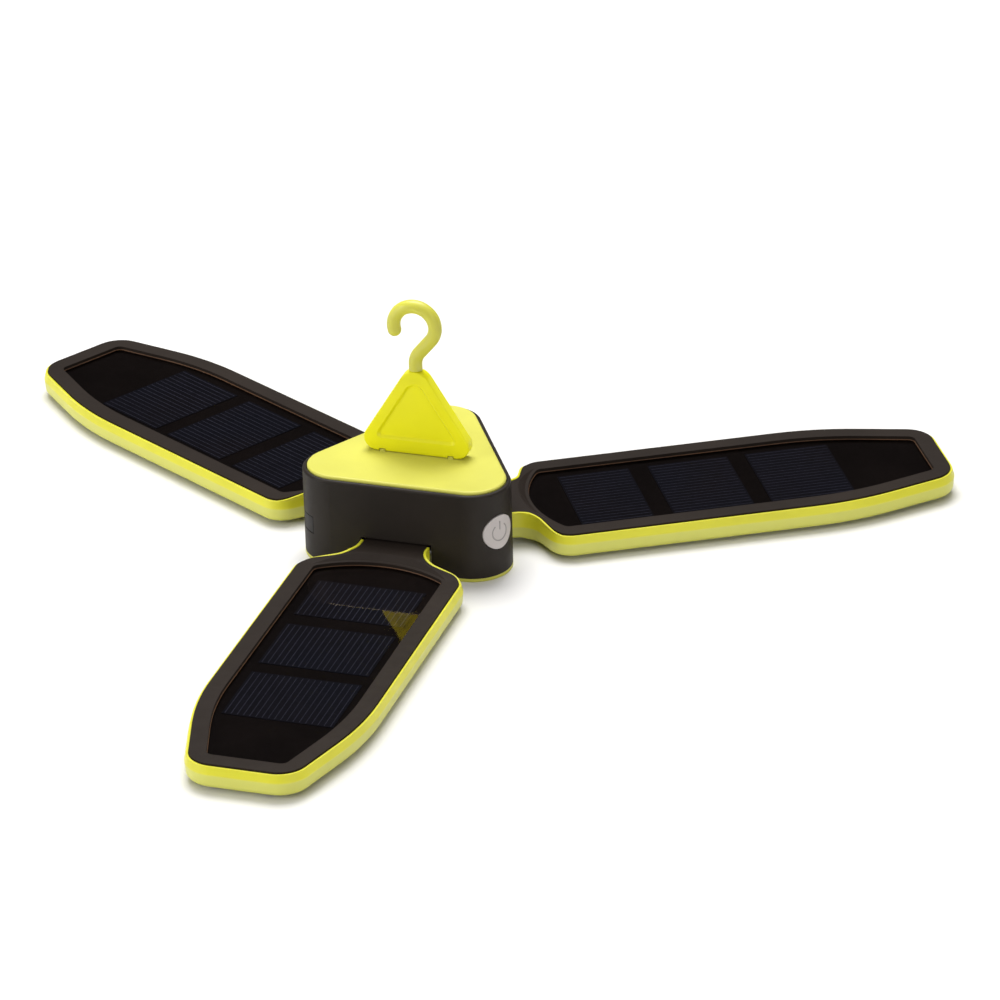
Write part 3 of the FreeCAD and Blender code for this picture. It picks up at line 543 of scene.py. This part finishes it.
def tube(name, runs, radius, material, body, closed=False):
    """Round line of one radius along each run of points."""
    bm = bmesh.new()
    turns = [2 * math.pi * step / TUBE_SIDES for step in range(TUBE_SIDES)]
    for run in runs:
        points = [Vector(point) for point in run]
        last = len(points) - 1
        rings = []
        side = None
        for index, point in enumerate(points):
            before = points[index - 1] if closed or index > 0 else point
            after = points[(index + 1) % len(points)] if closed or index < last else point
            along = (after - before).normalized()
            side = along.orthogonal() if side is None else side - along * side.dot(along)
            side.normalize()
            other = along.cross(side)
            ring = [point + radius * (math.cos(turn) * side + math.sin(turn) * other) for turn in turns]
            rings.append([bm.verts.new(place) for place in ring])
        for here, after in zip(rings, rings[1:] + rings[:1] if closed else rings[1:]):
            for step in range(TUBE_SIDES):
                bm.faces.new((here[step - 1], here[step], after[step], after[step - 1]))
        if not closed:
            bm.faces.new(rings[0])
            bm.faces.new(rings[-1])
    return piece(name, bm, material, body)


def power_mark():
    """Ring and bar half sunk in the curved face of the button."""
    press = next(j for j in frame["joints"] if j["name"] == "button_press")
    outward = -Vector(press["axis"]).normalized()
    reach = max(vertex.co.dot(outward) for vertex in nodes["power_button"].data.vertices)
    low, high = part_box("power_button")
    centre = outward * (reach - BUTTON_CURVE) + UP * (low.z + high.z) / 2

    def on_face(aside, above):
        turned = Matrix.Rotation(aside / BUTTON_CURVE, 3, "Z") @ outward
        return centre + turned * (BUTTON_CURVE - MARK_SUNK) + UP * above

    ring = []
    for step in range(RING_STEPS + 1):
        turn = math.radians(90 + MARK_GAP + (360 - 2 * MARK_GAP) * step / RING_STEPS)
        ring.append(on_face(MARK_RADIUS * math.cos(turn), MARK_RADIUS * math.sin(turn)))
    low_end, high_end = MARK_BAR
    bar = [on_face(0, low_end + (high_end - low_end) * step / BAR_STEPS) for step in range(BAR_STEPS + 1)]
    tube("power_mark", [ring, bar], MARK_LINE, button_mark, "power_button")


for wing in WINGS:
    cell_lines(wing)
    clear_window(wing)
    lens_ribs(wing)
    panel_highlight_line(wing)
power_mark()


# ---------------------------------------------------------------- floor, lights, camera

def add_floor():
    """Pale floor that stays below the wings when they fold down."""
    bm = bmesh.new()
    bmesh.ops.create_grid(bm, x_segments=1, y_segments=1, size=FLOOR_HALF)
    mesh = bpy.data.meshes.new("floor")
    bm.to_mesh(mesh)
    bm.free()
    tree = Tree("floor_paper")
    cloud = tree.noise(0.4, 2.0)
    inputs = {
        "Base Color": tree.mix(tree.spread(cloud, 0, 1), (0.815, 0.805, 0.80, 1), (0.835, 0.828, 0.822, 1)),
        "Roughness": tree.spread(tree.noise(2 * MM), 0.85, 0.95),
        "Specular IOR Level": 0.1,
    }
    mesh.materials.append(tree.show(tree.add("BsdfPrincipled", inputs)))
    floor = bpy.data.objects.new("floor", mesh)
    bpy.context.scene.collection.objects.link(floor)
    for wing in WINGS:
        tip = max(point.x for point in in_wing(wing, wing + "_wing_shell"))
        marker = bpy.data.objects.new(wing + "_tip_level", None)
        bpy.context.scene.collection.objects.link(marker)
        marker.location = wing_frame(wing) @ Vector((tip + FLOOR_GAP, 0, 0))
        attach(marker, "wing_" + wing)
        below = floor.constraints.new("FLOOR")
        below.target = marker
        below.floor_location = "FLOOR_NEGATIVE_Z"


def softbox(name, place, aim, size, power):
    """Rectangular light at a place, turned to its aim."""
    light = bpy.data.lights.new(name, "AREA")
    light.shape = "RECTANGLE"
    light.size, light.size_y = size
    light.energy = power
    made = bpy.data.objects.new(name, light)
    bpy.context.scene.collection.objects.link(made)
    made.location = place
    made.rotation_mode = "QUATERNION"
    made.rotation_quaternion = (Vector(aim) - Vector(place)).to_track_quat("-Z", "Y")


def add_lights():
    """Softbox ceiling: bright overhead, dark towards the horizon, with two small front fills."""
    softbox("overhead", (-0.25, 0.62, 1.68), (0, 0, 0), (1.2, 1.0), 35)
    softbox("front_left", (-1.45, -1.25, 0.60), (0, 0, 0.02), (1.0, 0.7), 16)
    softbox("front_right", (1.50, -1.25, 0.65), (0, 0, 0.02), (0.9, 0.7), 7.5)
    world = bpy.data.worlds.new("studio")
    world.use_nodes = True
    air, links = world.node_tree.nodes, world.node_tree.links
    height = air.new("ShaderNodeSeparateXYZ")
    links.new(air.new("ShaderNodeTexCoord").outputs["Generated"], height.inputs[0])
    fade = air.new("ShaderNodeMapRange")
    fade.interpolation_type = "SMOOTHSTEP"
    start, end = CEILING_FADE
    for key, value in {"From Min": start, "From Max": end, "To Min": HORIZON, "To Max": CEILING}.items():
        fade.inputs[key].default_value = value
    links.new(height.outputs["Z"], fade.inputs["Value"])
    sky = air["Background"]
    sky.inputs["Color"].default_value = (1, 0.985, 0.97, 1)
    links.new(fade.outputs["Result"], sky.inputs["Strength"])
    bpy.context.scene.world = world


def add_camera():
    """Camera at its azimuth, elevation and distance from the point it looks at, rolled a little."""
    azimuth = math.radians(CAMERA_AZIMUTH)
    elevation = math.radians(CAMERA_ELEVATION)
    flat = math.cos(elevation)
    back = Vector((math.sin(azimuth) * flat, -math.cos(azimuth) * flat, math.sin(elevation)))
    data = bpy.data.cameras.new("camera")
    data.lens = CAMERA_LENS
    data.sensor_width = CAMERA_SENSOR
    data.clip_end = CAMERA_REACH
    camera = bpy.data.objects.new("camera", data)
    bpy.context.scene.collection.objects.link(camera)
    camera.location = CAMERA_AIM + back * CAMERA_DISTANCE
    camera.rotation_mode = "QUATERNION"
    level = (-back).to_track_quat("-Z", "Y").to_matrix()
    roll = Matrix.Rotation(math.radians(CAMERA_ROLL), 3, "Z")
    camera.rotation_quaternion = (level @ roll).to_quaternion()
    bpy.context.scene.camera = camera


add_floor()
add_lights()
add_camera()
bpy.context.scene.view_settings.view_transform = "Standard"
